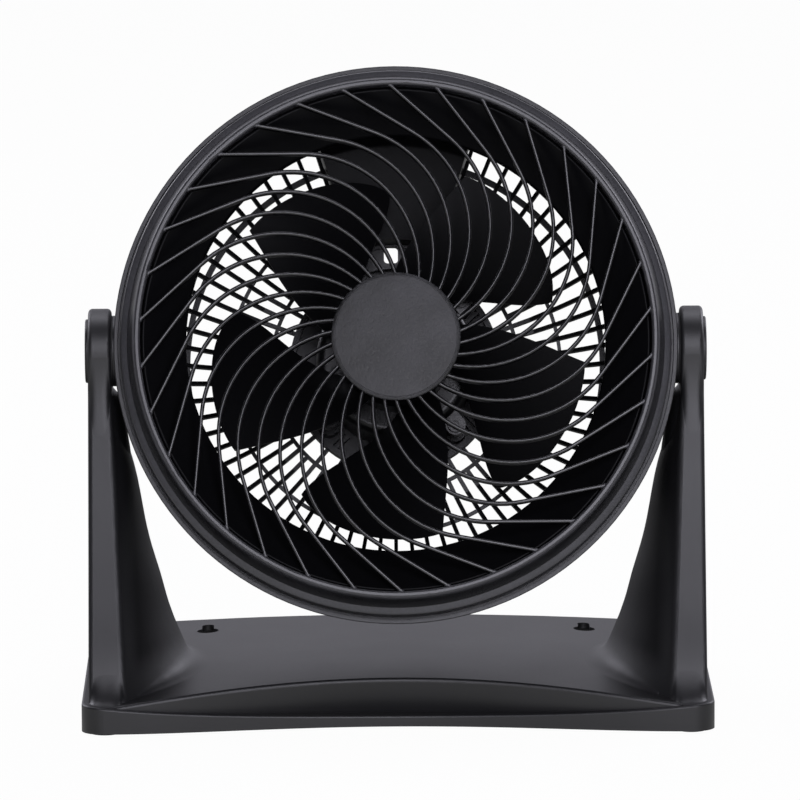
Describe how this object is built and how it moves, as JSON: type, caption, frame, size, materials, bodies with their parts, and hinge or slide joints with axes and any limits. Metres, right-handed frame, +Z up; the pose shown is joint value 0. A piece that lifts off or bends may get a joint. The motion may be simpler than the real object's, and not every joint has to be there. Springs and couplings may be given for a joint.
{
  "type": "floor fan",
  "caption": "Black moulded floor fan: round tilting head with a swirl front guard on a U-shaped stand with keyholes for hanging on a wall.",
  "frame": {"origin": "on the floor under the middle of the base", "axes": "+Z up, the fan blows towards -Y, +X to the right seen from the front"},
  "size_m": [0.2834, 0.176, 0.2883],
  "materials": {
    "black_plastic": "fine moulded grain",
    "black_satin": "satin",
    "grey_plastic": "fine sparkle grain",
    "nylon": "natural",
    "rubber": "matt",
    "steel": "zinc plated",
    "lamination": "varnished laminations",
    "black_enamel": "enamelled casting",
    "copper": "enamelled wire",
    "bronze": "sintered"
  },
  "bodies": {
    "stand": {"stand": "black_plastic", "rubber_feet": "rubber", "pivot_washers": "nylon", "left_pivot_cap": "black_plastic", "right_pivot_cap": "black_plastic"},
    "head": {"housing_ring": "black_satin", "pivot_screws": "steel", "front_guard": "black_plastic", "guard_cap": "grey_plastic", "rear_guard": "black_plastic", "rear_guard_screws": "steel", "control_box": "black_plastic", "control_panel": "black_plastic", "cord_gland": "black_plastic", "speed_switch": "grey_plastic", "switch_nut": "steel", "motor_front_bracket": "black_enamel", "motor_rear_bracket": "black_enamel", "motor_stator": "lamination", "motor_winding": "copper", "front_bearing": "bronze", "rear_bearing": "bronze", "motor_screws": "steel", "motor_cover": "black_plastic"},
    "fan": {"motor_shaft": "steel", "rotor_core": "lamination", "fan_blade": "black_satin", "blade_nut": "black_plastic", "thrust_washer": "nylon"},
    "knob": {"speed_knob": "black_plastic", "switch_shaft": "steel"}
  },
  "joints": [
    {"name": "head_tilt", "type": "hinge", "parent": "stand", "child": "head", "pos_m": [0, -0.008, 0.162], "axis": [-1, 0, 0], "range_deg": [-17.7, 72.3]},
    {"name": "fan_spin", "type": "hinge", "parent": "head", "child": "fan", "pos_m": [0, 0.01296, 0.15531], "axis": [0, 0.9527, -0.304], "continuous": true},
    {"name": "knob_turn", "type": "hinge", "parent": "head", "child": "knob", "pos_m": [0, 0.07711, 0.20832], "axis": [0, -0.9527, 0.304], "range_deg": [0, 135]}
  ]
}
